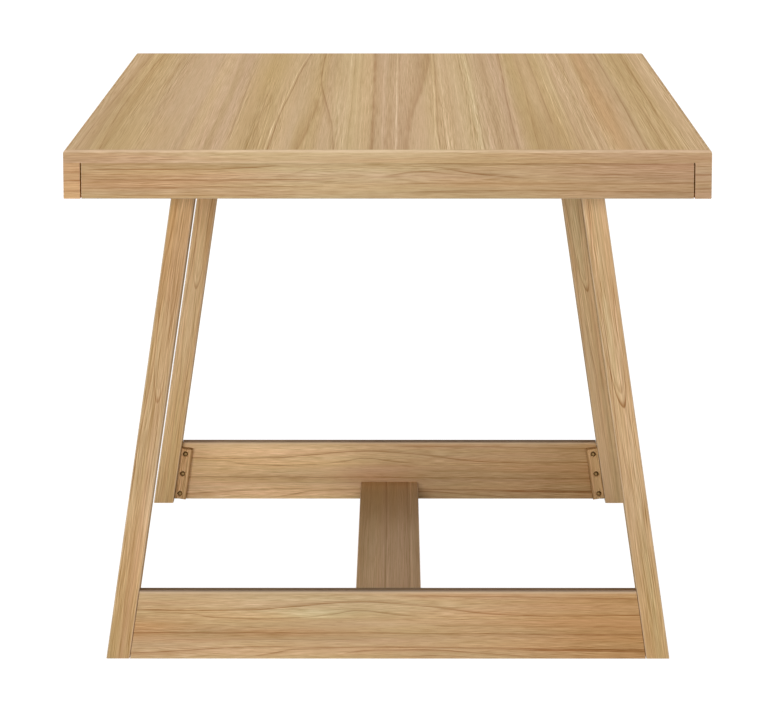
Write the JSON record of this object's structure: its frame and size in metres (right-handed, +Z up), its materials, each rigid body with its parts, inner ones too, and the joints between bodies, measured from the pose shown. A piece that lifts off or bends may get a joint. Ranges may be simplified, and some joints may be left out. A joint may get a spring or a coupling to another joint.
{
  "type": "splay-legged trestle table",
  "caption": "Rectangular wooden dining table on two splayed-leg trestles, with low end stretchers joined by a flat centre stretcher near the floor.",
  "frame": {"origin": "on the floor, under the middle of the top", "axes": "+Z up; +Y along the table's length, towards the back end; +X across its width, to the right seen from the front end"},
  "size_m": [0.9, 1.6, 0.765],
  "materials": {
    "oak_top": "clear matt lacquer over straight-grained light oak",
    "oak_edge": "clear matt lacquer over light oak, grain along the edge",
    "oak_leg": "clear matt lacquer over light oak, grain along the leg",
    "oak_stretcher": "clear matt lacquer over light oak with cathedral figure",
    "oak_cleat": "sawn oak, thinly lacquered",
    "softwood_hidden": "planed, unlacquered",
    "beech_dowel": "plain beech",
    "screw_bronze": "yellow passivated, dull",
    "screw_zinc": "bright zinc plated",
    "cam_zinc": "die-cast zinc",
    "bracket_steel": "zinc plated sheet steel"
  },
  "bodies": {
    "root": {"apron_dowels": "beech_dowel", "batten_screws": "screw_zinc", "bracket_screws": "screw_zinc", "centre_batten": "softwood_hidden", "centre_stretcher": "oak_stretcher", "cleat_face_screws": "screw_bronze", "cleat_leg_screws": "screw_zinc", "corner_block_back_left": "softwood_hidden", "corner_block_back_right": "softwood_hidden", "corner_block_front_left": "softwood_hidden", "corner_block_front_right": "softwood_hidden", "corner_block_screws": "screw_zinc", "cross_rail_back": "softwood_hidden", "cross_rail_front": "softwood_hidden", "end_apron_back": "oak_edge", "end_apron_front": "oak_edge", "end_stretcher_back": "oak_stretcher", "end_stretcher_front": "oak_stretcher", "leg_back_left": "oak_leg", "leg_back_right": "oak_leg", "leg_brackets": "bracket_steel", "leg_front_left": "oak_leg", "leg_front_right": "oak_leg", "lipping_back": "oak_edge", "lipping_front": "oak_edge", "lipping_left": "oak_edge", "lipping_right": "oak_edge", "rail_barrel_nuts": "screw_zinc", "rail_bolts": "screw_zinc", "rail_dowels": "beech_dowel", "rail_screws": "screw_zinc", "side_apron_left": "oak_edge", "side_apron_right": "oak_edge", "stretcher_cam_bolts": "screw_zinc", "stretcher_cam_locks": "cam_zinc", "stretcher_cleat_back_left": "oak_cleat", "stretcher_cleat_back_right": "oak_cleat", "stretcher_cleat_front_left": "oak_cleat", "stretcher_cleat_front_right": "oak_cleat", "stretcher_dowels": "beech_dowel", "top_panel": "oak_top"}
  },
  "joints": []
}
